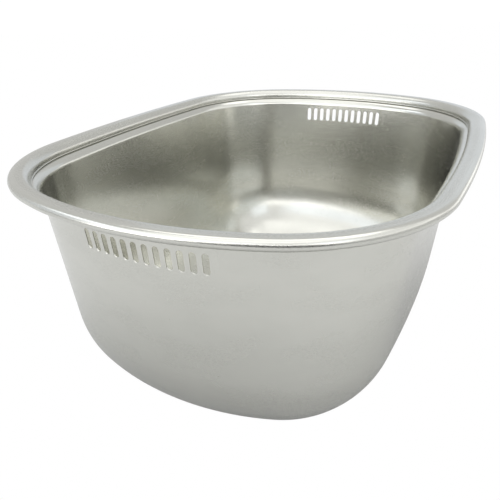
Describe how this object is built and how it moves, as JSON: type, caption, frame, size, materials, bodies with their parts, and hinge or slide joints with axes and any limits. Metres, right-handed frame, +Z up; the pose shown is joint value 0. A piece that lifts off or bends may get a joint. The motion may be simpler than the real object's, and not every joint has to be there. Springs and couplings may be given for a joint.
{
  "type": "pedicure foot bath",
  "caption": "Deep rounded-rectangular steel foot basin with a broad rolled rim, large base radius and upright overflow slots in both ends.",
  "frame": {"origin": "middle of the base's underside", "axes": "+Z up, +X along the long side; the slotted ends face +X and -X"},
  "size_m": [0.3998, 0.3, 0.175],
  "materials": {
    "shell_steel": "satin, fine grain",
    "rim_steel": "satin, slightly brighter than the bowl",
    "wire_steel": "drawn wire"
  },
  "bodies": {
    "root": {"basin_shell": "shell_steel", "rim_ring": "rim_steel", "rim_wire": "wire_steel"}
  },
  "joints": []
}
